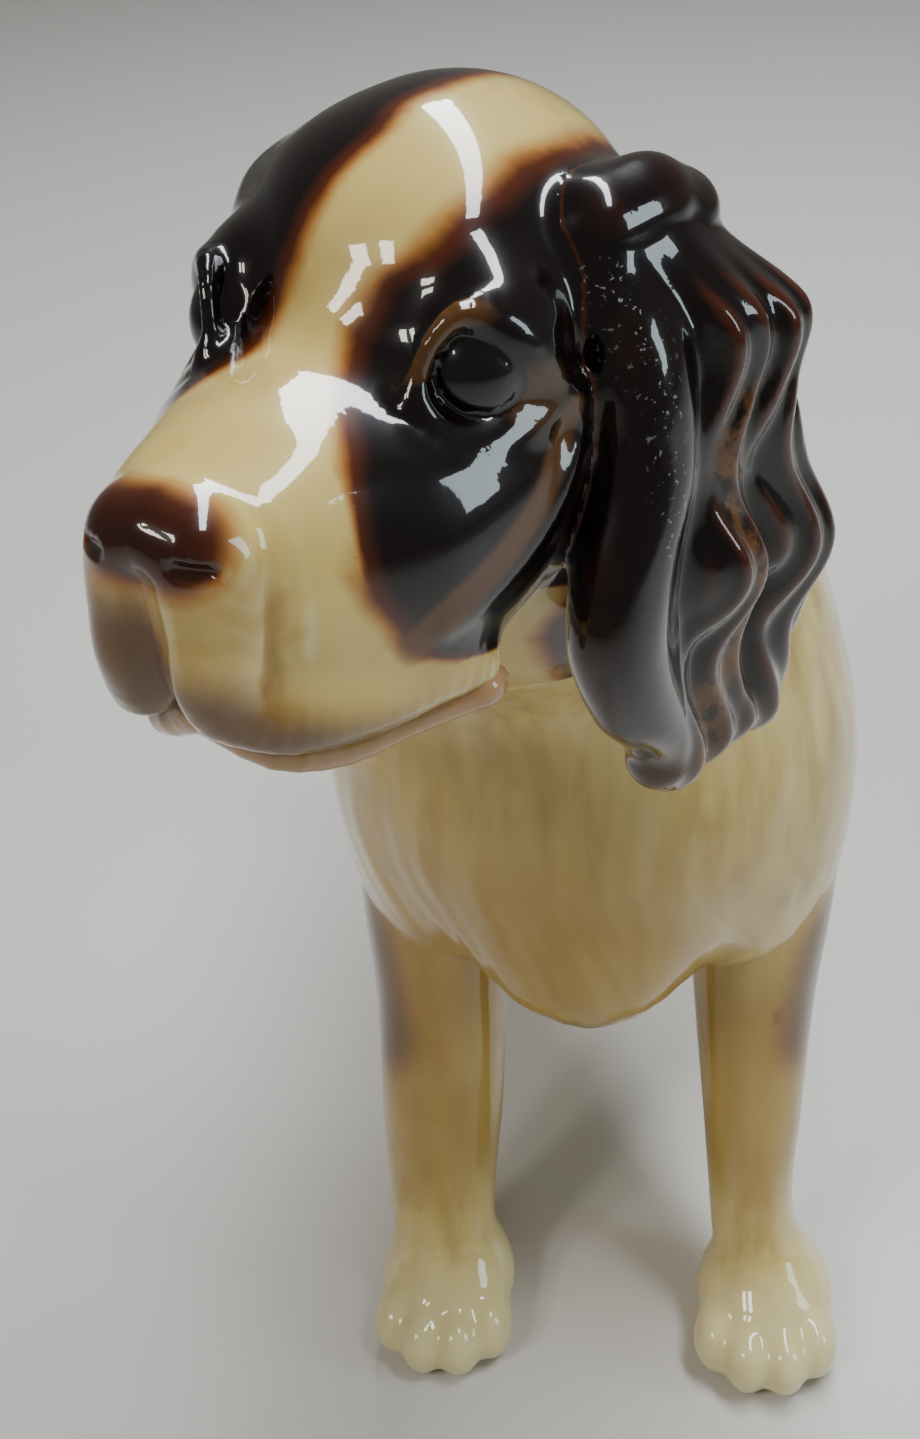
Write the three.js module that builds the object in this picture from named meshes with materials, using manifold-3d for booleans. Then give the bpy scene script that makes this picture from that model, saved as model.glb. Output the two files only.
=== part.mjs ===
// A glazed porcelain figurine of a standing spaniel, its head turned to its right.
//
// The figurine is put together from slip castings. The trunk and the head are hollow shells with an
// open neck joint between them, and the trunk has a vent hole under the belly. The legs, the tail,
// the ears and the lower jaw are cast by themselves, and each has a tenon that sits in a socket of
// the shell it joins.
//
// Frame: millimetres, +Z up. The dog faces -Y, and its left side is +X.

import * as THREE from 'three';
import { mergeVertices } from 'three/addons/utils/BufferGeometryUtils.js';
import Module from 'manifold-3d';

const wasm = await Module();
wasm.setup();

// ---------------------------------------------------------------- driving dimensions

const WALL = 3;                  // thickness of the hollow castings
const CLEARANCE = 0.3;           // slip joint between two castings

const CHEST_WIDTH = 46;
const CHEST_DEPTH = 48;          // brisket to withers
const TRUNK_LENGTH = 95;         // front of the chest to the rump
const CHEST_REACH = 39;          // front of the chest to the trunk's own origin

const LEG_LENGTH = 46;           // ground to brisket
const FORE_STANCE = 31;          // between the tops of the forelegs
const HIND_STANCE = 28;          // between the tops of the hind legs
const FORE_LEG_WIDTH = 13;
const HIND_LEG_WIDTH = 11;
const FORE_STEP = 9;             // how far the fore paws stand ahead of the shoulders
const HIND_STEP = 9;             // how far the hind paws stand behind the knees
const PAW_LENGTH = 17;
const PAW_WIDTH = 14.6;
const PAW_HEIGHT = 10;

const NECK_RISE = 22;            // withers to the centre of the head
const NECK_WIDTH = 27;
const NECK_COLLAR = 5;           // how far the trunk's collar stands inside the head
const HEAD_REACH = 45.9;         // the trunk's origin to the centre of the head
const HEAD_ASIDE = -8;
const HEAD_YAW = THREE.MathUtils.degToRad(22);
const HEAD_LIFT = THREE.MathUtils.degToRad(6.4);
const HEAD_ROLL = THREE.MathUtils.degToRad(-2.7);

const SKULL_LENGTH = 30;
const SKULL_WIDTH = 26;
const SKULL_HEIGHT = 24.6;
const MUZZLE_REACH = 28;         // centre of the head to the front of the nose
const MUZZLE_WIDTH = 23;
const MUZZLE_DEPTH = 18;
const EYE_DIAMETER = 6.8;
const NOSE_WIDTH = 9.6;

const EAR_LENGTH = 40;
const EAR_WIDTH = 22;
const EAR_THICKNESS = 7;
const RIGHT_EAR_BACK = 4;        // the right ear is set further back, lower and closer in
const RIGHT_EAR_DROP = 4;
const RIGHT_EAR_TUCK = 2;
const JAW_THICKNESS = 5;
const TAIL_LENGTH = 17;
const TAIL_WIDTH = 9;

const LEG_TENON = 7;             // tenon diameters
const TAIL_TENON = 5;
const EAR_TENON = 5;
const JAW_TENON = 5;
const TENON_LENGTH = WALL + 2;
const VENT_DIAMETER = 10;

// How finely the round forms are faceted
const SIDES = 18;
const ROWS = 10;
const SMALL_SIDES = 12;          // toes, eyes and nose
const SMALL_ROWS = 8;
const CAP_ROWS = 3;
const BODY_ROWS = 8;
const BLOCK = 300;               // larger than the figurine in every direction

const point = (x, y, z) => new THREE.Vector3(x, y, z);

// The trunk's origin lies at the middle of the chest, over the figurine's own origin.
const trunkCentre = point(0, 0, LEG_LENGTH + CHEST_DEPTH / 2);
const headCentre = trunkCentre.clone().add(point(HEAD_ASIDE, -HEAD_REACH, CHEST_DEPTH / 2 + NECK_RISE));
// The head's frame: +X along the muzzle, +Y to the dog's left, +Z through the crown.
const headRotation = new THREE.Euler(HEAD_ROLL, -HEAD_LIFT, -Math.PI / 2 - HEAD_YAW, 'ZYX');
const headToWorld = new THREE.Matrix4().makeRotationFromEuler(headRotation).setPosition(headCentre);
const worldToHead = headToWorld.clone().invert();

// ---------------------------------------------------------------- forms and joins

function solid(geometry) {
  const bare = geometry.clone();
  bare.deleteAttribute('normal');
  bare.deleteAttribute('uv');
  const merged = mergeVertices(bare, 1e-4);
  return new wasm.Manifold(new wasm.Mesh({
    numProp: 3,
    vertProperties: new Float32Array(merged.attributes.position.array),
    triVerts: new Uint32Array(merged.index.array),
  }));
}

const join = (...solids) => solids.reduce((all, next) => all.add(next));
const cut = (body, ...tools) => tools.reduce((rest, tool) => rest.subtract(tool), body);

function meshOf(name, body, colour, roughness = 0.12) {
  const { vertProperties, triVerts } = body.getMesh();
  const geometry = new THREE.BufferGeometry();
  geometry.setAttribute('position', new THREE.BufferAttribute(new Float32Array(vertProperties), 3));
  geometry.setIndex(new THREE.BufferAttribute(new Uint32Array(triVerts), 1));
  geometry.computeVertexNormals();
  const material = new THREE.MeshStandardMaterial({ color: colour, roughness, metalness: 0 });
  const mesh = new THREE.Mesh(geometry, material);
  mesh.name = name;
  return mesh;
}

function ellipsoid(centre, radii, grow = 0, sides = SIDES, rows = ROWS) {
  const geometry = new THREE.SphereGeometry(1, sides, rows);
  geometry.scale(radii.x + grow, radii.y + grow, radii.z + grow);
  geometry.translate(centre.x, centre.y, centre.z);
  return geometry;
}

const smallEllipsoid = (centre, radii, grow) => ellipsoid(centre, radii, grow, SMALL_SIDES, SMALL_ROWS);

// A round-ended bar along a smooth line through its stations. A station has its centre (at), its
// half width along `across` (wide) and its half width square to that (deep). The section is an
// ellipse at square = 1, and fuller at the corners below that. The ends reach out by `reach`.
function loft(stations, { across, square = 1, reach = [0, 0], sides = SIDES, rows = BODY_ROWS }, grow = 0) {
  const line = new THREE.CatmullRomCurve3(stations.map((station) => station.at));
  const size = new THREE.CatmullRomCurve3(stations.map(({ wide, deep }) => point(wide, deep, 0)));
  const last = CAP_ROWS * 2 + rows;
  const geometry = new THREE.SphereGeometry(1, sides, last);
  const position = geometry.attributes.position;
  for (let row = 0; row <= last; row += 1) {
    const t = THREE.MathUtils.clamp((row - CAP_ROWS) / rows, 0, 1);
    const beyond = Math.max(CAP_ROWS - row, row - CAP_ROWS - rows, 0) / CAP_ROWS;
    const lean = beyond * Math.PI / 2;
    const end = t === 0 ? -1 : 1;
    const tangent = line.getTangent(t);
    const side = across.clone().addScaledVector(tangent, -across.dot(tangent)).normalize();
    const other = tangent.clone().cross(side);
    const half = size.getPoint(t);
    const out = (reach[t === 0 ? 0 : 1] + grow) * Math.sin(lean) * end;
    const centre = line.getPoint(t).addScaledVector(tangent, beyond > 0 ? out : 0);
    const shrink = beyond === 1 ? 0 : Math.cos(lean);
    for (let column = 0; column <= sides; column += 1) {
      const angle = (column / sides) * Math.PI * 2;
      const wide = Math.sign(-Math.cos(angle)) * Math.abs(Math.cos(angle)) ** square;
      const deep = Math.sign(Math.sin(angle)) * Math.abs(Math.sin(angle)) ** square;
      const spot = centre.clone()
        .addScaledVector(side, wide * (half.x + grow) * shrink)
        .addScaledVector(other, deep * (half.y + grow) * shrink);
      position.setXYZ(row * (sides + 1) + column, spot.x, spot.y, spot.z);
    }
  }
  return geometry;
}

// A cylinder between two points.
function rod(from, to, diameter, grow = 0) {
  const run = to.clone().sub(from);
  const geometry = new THREE.CylinderGeometry(diameter / 2 + grow, diameter / 2 + grow, run.length(), SIDES);
  const turn = new THREE.Quaternion().setFromUnitVectors(point(0, 1, 0), run.normalize());
  geometry.applyQuaternion(turn);
  const middle = from.clone().add(to).multiplyScalar(0.5);
  geometry.translate(middle.x, middle.y, middle.z);
  return geometry;
}

// Everything past a plane, as a block that is larger than the figurine.
function pastPlane(origin, normal) {
  const geometry = new THREE.BoxGeometry(BLOCK, BLOCK, BLOCK);
  geometry.translate(0, 0, BLOCK / 2);
  geometry.applyQuaternion(new THREE.Quaternion().setFromUnitVectors(point(0, 0, 1), normal));
  geometry.translate(origin.x, origin.y, origin.z);
  return geometry;
}

// Solids of a form: in the frame that it is written in, moved into the head's frame, or out of it.
const inHead = (geometry) => solid(geometry.clone().applyMatrix4(worldToHead));
const fromHead = (geometry) => solid(geometry.clone().applyMatrix4(headToWorld));

// ---------------------------------------------------------------- trunk and neck forms

// Widths and depths are shares of the chest's, and places are shares of the trunk's length.
function trunkForm(grow = 0) {
  const station = (share, wide, rise, deep) => ({
    at: trunkCentre.clone().add(point(0, share * TRUNK_LENGTH - CHEST_REACH, rise * CHEST_DEPTH)),
    wide: wide * CHEST_WIDTH / 2,
    deep: deep * CHEST_DEPTH / 2,
  });
  const stations = [
    station(0.13, 0.74, -0.05, 0.80),
    station(0.25, 1.00, 0, 1.00),
    station(0.42, 0.94, 0.03, 0.94),
    station(0.60, 0.82, 0.07, 0.79),
    station(0.78, 0.80, 0.08, 0.78),
    station(0.90, 0.62, 0.08, 0.62),
  ];
  const reach = [0.13 * TRUNK_LENGTH, 0.10 * TRUNK_LENGTH];
  return loft(stations, { across: point(1, 0, 0), square: 0.8, reach }, grow);
}

// The breastbone, a blunt keel at the bottom of the chest.
function keelForm(grow = 0) {
  const centre = trunkCentre.clone().add(point(0, 0.24 * CHEST_REACH - CHEST_REACH, -0.31 * CHEST_DEPTH));
  return ellipsoid(centre, point(0.22 * CHEST_WIDTH, 0.17 * CHEST_REACH, 0.21 * CHEST_DEPTH), grow);
}

const neckRoot = trunkCentre.clone().add(point(0, -0.31 * CHEST_REACH, 0.17 * CHEST_DEPTH));
const neckPoint = (share, sag) => neckRoot.clone().lerp(headCentre, share).add(point(0, 0, -sag));
const neckStations = [
  { at: neckPoint(0, 0), wide: 0.68 * NECK_WIDTH, deep: 0.68 * NECK_WIDTH },
  { at: neckPoint(0.36, 1), wide: 0.58 * NECK_WIDTH, deep: 0.60 * NECK_WIDTH },
  { at: neckPoint(0.70, 2), wide: 0.50 * NECK_WIDTH, deep: 0.54 * NECK_WIDTH },
  { at: neckPoint(1, 3), wide: 0.40 * NECK_WIDTH, deep: 0.44 * NECK_WIDTH },
];
const neckForm = (grow = 0) => loft(neckStations, { across: point(1, 0, 0), reach: [2, 2] }, grow);

// The neck joint is a plane square to the neck, just under the back of the skull.
const neckAxis = headCentre.clone().sub(neckRoot).normalize();
const neckSeat = neckPoint(0.60, 2);
const alongNeck = (distance) => neckSeat.clone().addScaledVector(neckAxis, distance);
const aboveNeck = (distance) => pastPlane(alongNeck(distance), neckAxis);
const belowNeck = (distance) => pastPlane(alongNeck(distance), neckAxis.clone().negate());

// ---------------------------------------------------------------- head forms, in the head's frame

const mirrored = (form) => [form(1), form(-1)];

function skullForm(grow = 0) {
  const radii = point(SKULL_LENGTH / 2, SKULL_WIDTH / 2, SKULL_HEIGHT / 2);
  return ellipsoid(point(-0.17 * SKULL_LENGTH, 0, 0.14 * SKULL_HEIGHT), radii, grow);
}

function muzzleForm(grow = 0) {
  const station = (share, drop, wide, deep) => ({
    at: point(share * MUZZLE_REACH, 0, -drop * MUZZLE_DEPTH),
    wide: wide * MUZZLE_WIDTH / 2,
    deep: deep * MUZZLE_DEPTH / 2,
  });
  const stations = [
    station(-0.30, 0.08, 0.96, 1.10),
    station(0.03, 0.20, 1.08, 1.20),
    station(0.32, 0.34, 1.00, 1.10),
    station(0.55, 0.42, 0.78, 0.98),
    station(0.74, 0.45, 0.60, 0.90),
    station(0.85, 0.42, 0.44, 0.76),
  ];
  return loft(stations, { across: point(0, 1, 0), square: 0.85, reach: [4, 1.4] }, grow);
}

function browForm(side, grow = 0) {
  const centre = point(0.17 * SKULL_LENGTH, side * 0.32 * SKULL_WIDTH, 0.18 * SKULL_HEIGHT);
  return ellipsoid(centre, point(0.18 * SKULL_LENGTH, 0.16 * SKULL_WIDTH, 0.18 * SKULL_HEIGHT), grow);
}

function eyeForm(side, grow = 0) {
  const radius = EYE_DIAMETER / 2;
  const centre = point(0.25 * SKULL_LENGTH, side * 0.315 * SKULL_WIDTH, 0.12 * SKULL_HEIGHT);
  return smallEllipsoid(centre, point(radius, radius, radius), grow);
}

function noseForm(grow = 0) {
  const depth = 0.36 * NOSE_WIDTH;
  const centre = point(MUZZLE_REACH - 0.34 * NOSE_WIDTH, 0, -0.18 * NOSE_WIDTH);
  return smallEllipsoid(centre, point(depth, NOSE_WIDTH / 2, 0.34 * NOSE_WIDTH), grow);
}

function headForm(grow = 0) {
  return [
    skullForm(grow),
    muzzleForm(grow),
    ...mirrored((side) => browForm(side, grow)),
    ...mirrored((side) => eyeForm(side, grow)),
    noseForm(grow),
  ];
}

// Where an ear hangs, measured from the side of the skull: back, out and down.
function earPlace(side) {
  const right = side < 0 ? 1 : 0;
  return point(-right * RIGHT_EAR_BACK, side * (SKULL_WIDTH / 2 - right * RIGHT_EAR_TUCK), -right * RIGHT_EAR_DROP);
}

// The ear hangs from the side of the skull and widens over the cheek and the neck.
function earForm(side, grow = 0) {
  const root = earPlace(side);
  const station = (share, back, stand, wide, thick) => ({
    at: root.clone().add(point(-back * EAR_WIDTH, side * stand, 0.40 * SKULL_HEIGHT - share * EAR_LENGTH)),
    wide: wide * EAR_WIDTH / 2,
    deep: thick * EAR_THICKNESS / 2,
  });
  const stations = [
    station(0.02, 0.24, -1.6, 0.56, 0.85),
    station(0.22, 0.26, 2.6, 0.80, 1.0),
    station(0.50, 0.26, 4.2, 1.0, 1.0),
    station(0.74, 0.32, 4.8, 0.92, 1.0),
    station(0.90, 0.40, 4.8, 0.62, 0.9),
  ];
  return loft(stations, { across: point(1, 0, 0), reach: [2, 0.07 * EAR_LENGTH] }, grow);
}

// The lower jaw is the thin bow under the upper lip.
function jawForm(grow = 0) {
  const station = (share, drop, wide, deep) => ({
    at: point(share * MUZZLE_REACH, 0, -drop * MUZZLE_DEPTH),
    wide: wide * MUZZLE_WIDTH / 2,
    deep: deep * JAW_THICKNESS / 2,
  });
  const stations = [
    station(0.05, 0.80, 0.80, 1.2),
    station(0.30, 0.86, 0.86, 1.1),
    station(0.52, 0.90, 0.66, 1.0),
    station(0.70, 0.90, 0.42, 0.9),
  ];
  return loft(stations, { across: point(0, 1, 0), square: 0.85, reach: [3, 1.6] }, grow);
}

// ---------------------------------------------------------------- legs and tail forms

function pawForms(x, y, grow = 0) {
  const toe = (place) => {
    const spread = (place - 1.5) / 1.5;
    const centre = point(
      x + spread * 0.34 * PAW_WIDTH,
      y - (0.33 - 0.11 * Math.abs(spread)) * PAW_LENGTH,
      0.34 * PAW_HEIGHT,
    );
    return smallEllipsoid(centre, point(0.16 * PAW_WIDTH, 0.19 * PAW_LENGTH, 0.34 * PAW_HEIGHT), grow);
  };
  const heel = point(x, y, 0.46 * PAW_HEIGHT);
  const pad = ellipsoid(heel, point(0.47 * PAW_WIDTH, 0.45 * PAW_LENGTH, 0.54 * PAW_HEIGHT), grow);
  return [pad, ...[0, 1, 2, 3].map(toe)];
}

const foreY = 0.20 * TRUNK_LENGTH - CHEST_REACH;
const hindY = 0.76 * TRUNK_LENGTH - CHEST_REACH;
const forePawY = foreY - FORE_STEP - 0.12 * PAW_LENGTH;
const hindPawY = hindY + HIND_STEP - 0.12 * PAW_LENGTH;

function foreLegForms(side) {
  const x = side * FORE_STANCE / 2;
  const pawX = x + side;
  const station = (height, step, wide) => ({
    at: point(x + side * (1 - height / LEG_LENGTH), foreY - step * FORE_STEP, height),
    wide: wide * FORE_LEG_WIDTH / 2,
    deep: wide * FORE_LEG_WIDTH / 2,
  });
  const stations = [
    station(0.12 * LEG_LENGTH, 0.86, 0.72),
    station(0.28 * LEG_LENGTH, 0.78, 0.68),
    station(0.48 * LEG_LENGTH, 0.60, 0.84),
    station(0.78 * LEG_LENGTH, 0.30, 0.94),
    station(LEG_LENGTH + 0.06 * CHEST_DEPTH, 0, 0.96),
    station(LEG_LENGTH + 0.15 * CHEST_DEPTH, -0.1, 0.80),
  ];
  const shank = loft(stations, { across: point(1, 0, 0), reach: [3, 3], sides: 14 });
  return [shank, ...pawForms(pawX, forePawY)];
}

function hindLegForms(side) {
  const x = side * HIND_STANCE / 2;
  const station = (height, step, wide, deep) => ({
    at: point(x + side * (1 - height / LEG_LENGTH), hindY + step * HIND_STEP, height),
    wide: wide * HIND_LEG_WIDTH / 2,
    deep: deep * HIND_LEG_WIDTH / 2,
  });
  const stations = [
    station(0.12 * LEG_LENGTH, 1.0, 0.78, 0.80),
    station(0.32 * LEG_LENGTH, 1.25, 0.76, 0.80),
    station(0.54 * LEG_LENGTH, 1.25, 0.84, 1.0),
    station(0.80 * LEG_LENGTH, 0.25, 1.05, 1.35),
    station(LEG_LENGTH + 0.12 * CHEST_DEPTH, -0.3, 1.25, 1.9),
    station(LEG_LENGTH + 0.42 * CHEST_DEPTH, 0, 1.10, 2.2),
  ];
  const shank = loft(stations, { across: point(1, 0, 0), reach: [3, 4], sides: 14 });
  return [shank, ...pawForms(x + side, hindPawY)];
}

const rump = trunkCentre.clone().add(point(0, TRUNK_LENGTH - CHEST_REACH, 0.20 * CHEST_DEPTH));

function tailForm() {
  const station = (share, rise, wide) => ({
    at: rump.clone().add(point(0, share * TAIL_LENGTH, rise * TAIL_LENGTH)),
    wide: wide * TAIL_WIDTH / 2,
    deep: wide * TAIL_WIDTH / 2,
  });
  const stations = [
    station(-0.40, -0.08, 1),
    station(0.10, 0.03, 0.94),
    station(0.50, 0.16, 0.80),
    station(0.90, 0.36, 0.56),
  ];
  return loft(stations, { across: point(1, 0, 0), reach: [2, 0.1 * TAIL_LENGTH], sides: 12 });
}

// ---------------------------------------------------------------- tenons and sockets

// A tenon runs from inside its own casting through the wall that it is let into. Its socket is the
// same bar, larger by the clearance all round.
function legTenon(x, y, rise, grow = 0) {
  const foot = point(x, y, 0.86 * LEG_LENGTH);
  const top = point(x, y, LEG_LENGTH + rise * CHEST_DEPTH + grow);
  return rod(foot, top, LEG_TENON, grow);
}
const foreTenon = (side, grow = 0) => legTenon(side * FORE_STANCE / 2, foreY, 0.20, grow);
const hindTenon = (side, grow = 0) => legTenon(side * HIND_STANCE / 2, hindY, 0.40, grow);

function tailTenon(grow = 0) {
  const outer = rump.clone().add(point(0, 0.2 * TAIL_LENGTH, 0.06 * TAIL_LENGTH));
  const inner = rump.clone().add(point(0, -2 * TENON_LENGTH - grow, -0.15 * TAIL_LENGTH));
  return rod(inner, outer, TAIL_TENON, grow);
}

function earTenon(side, grow = 0) {
  const root = earPlace(side).add(point(-0.25 * EAR_WIDTH, 0, 0.40 * SKULL_HEIGHT - 0.20 * EAR_LENGTH));
  const outer = root.clone().add(point(0, side * 2, 0));
  const inner = root.clone().sub(point(0, side * (TENON_LENGTH + grow), 0));
  return rod(inner, outer, EAR_TENON, grow);
}

function jawTenon(grow = 0) {
  const along = 0.36 * MUZZLE_REACH;
  const lower = point(along, 0, -0.90 * MUZZLE_DEPTH - 0.2 * JAW_THICKNESS);
  const upper = point(along, 0, -0.90 * MUZZLE_DEPTH + 0.5 * JAW_THICKNESS + TENON_LENGTH + grow);
  return rod(lower, upper, JAW_TENON, grow);
}

// ---------------------------------------------------------------- castings

const CREAM = 0xe2d3ab;
const CHOCOLATE = 0x2b1610;
const LIP = 0xa9805f;

// The outer skins as full solids. A neighbour is cut back from them, grown by the clearance.
const trunkSkin = (place, grow = 0) => join(place(trunkForm(grow)), place(keelForm(grow)));
const lowerNeck = (place, grow = 0) => cut(place(neckForm(grow)), place(aboveNeck(grow)));
const upperNeck = (place, grow = 0) => cut(place(neckForm(grow)), place(belowNeck(CLEARANCE - grow)));
const headSkin = (place, grow = 0) => join(...headForm(grow).map(place));

function trunkShell() {
  const skin = cut(join(trunkSkin(solid), lowerNeck(solid)), headSkin(fromHead, CLEARANCE));
  const collar = cut(
    solid(neckForm(-WALL - CLEARANCE)),
    solid(aboveNeck(NECK_COLLAR)),
    solid(belowNeck(-WALL)),
  );
  const hollow = join(solid(trunkForm(-WALL)), cut(solid(neckForm(-WALL)), solid(aboveNeck(-WALL))));
  const throat = cut(solid(neckForm(-2 * WALL)), solid(belowNeck(-2 * WALL)));
  const vent = solid(rod(point(0, 0, 0), trunkCentre, VENT_DIAMETER));
  const sockets = [
    ...mirrored((side) => solid(foreTenon(side, CLEARANCE))),
    ...mirrored((side) => solid(hindTenon(side, CLEARANCE))),
    solid(tailTenon(CLEARANCE)),
  ];
  return cut(join(skin, collar), hollow, throat, vent, ...sockets);
}

function headShell() {
  const skin = join(headSkin(solid), upperNeck(inHead));
  const hollow = join(solid(skullForm(-WALL)), solid(muzzleForm(-WALL)), inHead(neckForm(-WALL)));
  const sockets = [
    ...mirrored((side) => solid(earTenon(side, CLEARANCE))),
    solid(jawTenon(CLEARANCE)),
  ];
  return cut(skin, hollow, ...sockets);
}

// What the ears and the jaw lie against.
function headAndNeck() {
  const head = headSkin(solid, CLEARANCE);
  return join(head, upperNeck(inHead, CLEARANCE), lowerNeck(inHead, CLEARANCE), trunkSkin(inHead, CLEARANCE));
}

const ear = (side) => join(cut(solid(earForm(side)), headAndNeck()), solid(earTenon(side)));
const lowerJaw = () => join(cut(solid(jawForm()), headAndNeck()), solid(jawTenon()));

function leg(forms, tenon) {
  const ground = solid(pastPlane(point(0, 0, 0), point(0, 0, -1)));
  const body = cut(join(...forms.map(solid)), ground, trunkSkin(solid, CLEARANCE));
  return join(body, solid(tenon));
}

function tail() {
  return join(cut(solid(tailForm()), trunkSkin(solid, CLEARANCE)), solid(tailTenon()));
}

// ---------------------------------------------------------------- assembly

const head = new THREE.Group();
head.position.copy(headCentre);
head.rotation.copy(headRotation);
head.add(
  meshOf('head_shell', headShell(), CREAM),
  meshOf('lower_jaw', lowerJaw(), LIP),
  meshOf('left_ear', ear(1), CHOCOLATE),
  meshOf('right_ear', ear(-1), CHOCOLATE),
);

const figurine = new THREE.Group();
figurine.add(
  meshOf('trunk_shell', trunkShell(), CREAM),
  head,
  meshOf('left_foreleg', leg(foreLegForms(1), foreTenon(1)), CREAM),
  meshOf('right_foreleg', leg(foreLegForms(-1), foreTenon(-1)), CREAM),
  meshOf('left_hindleg', leg(hindLegForms(1), hindTenon(1)), CREAM),
  meshOf('right_hindleg', leg(hindLegForms(-1), hindTenon(-1)), CREAM),
  meshOf('tail', tail(), CREAM),
);

// The origin is the middle of the footprint box, on the ground.
figurine.updateMatrixWorld(true);
const size = new THREE.Box3().setFromObject(figurine, true);
const middle = size.getCenter(new THREE.Vector3());
figurine.position.set(-middle.x, -middle.y, -size.min.z);
figurine.updateMatrixWorld(true);

const group = new THREE.Group();
group.add(figurine);

export default group;
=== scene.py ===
# Looks of the porcelain spaniel: glazed castings, studio light and the camera.
#
# Every casting is sculpted as a distance field in millimetres: a function that is negative inside
# the clay and positive outside. The surface where it is zero is then meshed. Body parts are written
# in the dog's frame (+Z up, facing -Y, x = 0 between the legs), and the face in the head's frame
# (forward along the muzzle, left, up).
import math

import bpy
import numpy as np
from mathutils import Matrix, Vector


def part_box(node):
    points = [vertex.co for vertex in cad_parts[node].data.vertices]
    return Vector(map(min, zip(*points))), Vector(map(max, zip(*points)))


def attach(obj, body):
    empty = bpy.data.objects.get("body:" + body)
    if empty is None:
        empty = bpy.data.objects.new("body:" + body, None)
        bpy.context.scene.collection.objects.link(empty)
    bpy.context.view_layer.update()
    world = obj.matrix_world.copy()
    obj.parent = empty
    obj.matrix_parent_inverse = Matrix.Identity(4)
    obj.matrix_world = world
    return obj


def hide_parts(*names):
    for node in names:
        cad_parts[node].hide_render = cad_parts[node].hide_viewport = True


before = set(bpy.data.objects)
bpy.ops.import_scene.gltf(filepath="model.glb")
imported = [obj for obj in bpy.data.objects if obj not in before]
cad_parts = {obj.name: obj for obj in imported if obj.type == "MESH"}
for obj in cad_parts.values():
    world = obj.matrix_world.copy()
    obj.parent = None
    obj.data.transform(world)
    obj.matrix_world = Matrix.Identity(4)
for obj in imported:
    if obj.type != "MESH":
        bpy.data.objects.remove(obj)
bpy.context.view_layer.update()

MM = 0.001

# ------------------------------------------------------------------ the dog's frame

RUMP_Y = 56.0          # the trunk's end, behind the dog's own origin
HEAD_ORIGIN = np.array([-8.0, -45.9, 116.2])
HEAD_YAW = math.radians(22)
HEAD_LIFT = math.radians(6.4)
HEAD_ROLL = math.radians(-2.7)


def dog_origin():
    """The dog's origin in the row frame, in millimetres: between the forelegs, ahead of the rump."""
    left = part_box("left_foreleg")
    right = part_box("right_foreleg")
    x = (left[0][0] + left[1][0] + right[0][0] + right[1][0]) / 4
    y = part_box("trunk_shell")[1][1] - RUMP_Y * MM
    return np.array([x, y, 0.0]) / MM


ORIGIN = dog_origin()


def head_axes():
    """The head's forward, left and up directions, as rows."""
    forward = np.array([-math.sin(HEAD_YAW) * math.cos(HEAD_LIFT),
                        -math.cos(HEAD_YAW) * math.cos(HEAD_LIFT),
                        math.sin(HEAD_LIFT)])
    level = np.array([math.cos(HEAD_YAW), -math.sin(HEAD_YAW), 0.0])
    upright = np.cross(forward, level)
    left = math.cos(HEAD_ROLL) * level + math.sin(HEAD_ROLL) * upright
    up = -math.sin(HEAD_ROLL) * level + math.cos(HEAD_ROLL) * upright
    return np.array([forward, left, up])


HEAD_AXES = head_axes()


def to_head(p):
    return (p - HEAD_ORIGIN) @ HEAD_AXES.T


def from_head(q):
    return np.asarray(q) @ HEAD_AXES + HEAD_ORIGIN


# ------------------------------------------------------------------ distance fields

TINY = 1e-6      # keeps a division away from zero


def unit(v):
    return v / np.linalg.norm(v)


def egg(q, radii):
    """Distance to an ellipsoid at the origin, to first order; the radii may vary from point to point."""
    near = np.linalg.norm(q / radii, axis=1)
    steep = np.linalg.norm(q / (radii * radii), axis=1)
    return near * (near - 1) / np.maximum(steep, TINY)


def ellipsoid(p, centre, radii):
    return egg(p - np.asarray(centre), np.asarray(radii))


def bar(p, start, end):
    """A round bar between two knots, each (x, y, z, radius)."""
    a = np.asarray(start[:3])
    run = np.asarray(end[:3]) - a
    t = np.clip((p - a) @ run / (run @ run), 0, 1)
    return np.linalg.norm(p - a - t[:, None] * run, axis=1) - (start[3] + (end[3] - start[3]) * t)


def strand(p, knots, soft=0.05):
    """Bars through a list of knots, blended by `soft` where they meet."""
    d = bar(p, knots[0], knots[1])
    for start, end in zip(knots[1:-1], knots[2:]):
        d = blend(d, bar(p, start, end), soft)
    return d


def between(x, places, values):
    """Smooth values through rows given at rising places, held level beyond the ends."""
    lean = np.gradient(values, places, axis=0)
    lean[[0, -1]] = 0
    x = np.clip(x, places[0], places[-1])
    i = np.clip(np.searchsorted(places, x, side="right") - 1, 0, len(places) - 2)
    width = (places[1:] - places[:-1])[i]
    t = ((x - places[i]) / width)[:, None]
    width = width[:, None]
    return (values[i] * (1 + 2 * t) * (1 - t) ** 2 + values[i + 1] * t * t * (3 - 2 * t)
            + lean[i] * width * t * (1 - t) ** 2 - lean[i + 1] * width * t * t * (1 - t))


def smooth(knots, steps=3):
    """The same line of knots with more of them, so that it bends without corners."""
    rows = np.array(knots, dtype=float)
    places = np.arange(len(rows), dtype=float)
    return between(np.linspace(0, len(rows) - 1, steps * (len(rows) - 1) + 1), places, rows)


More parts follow.
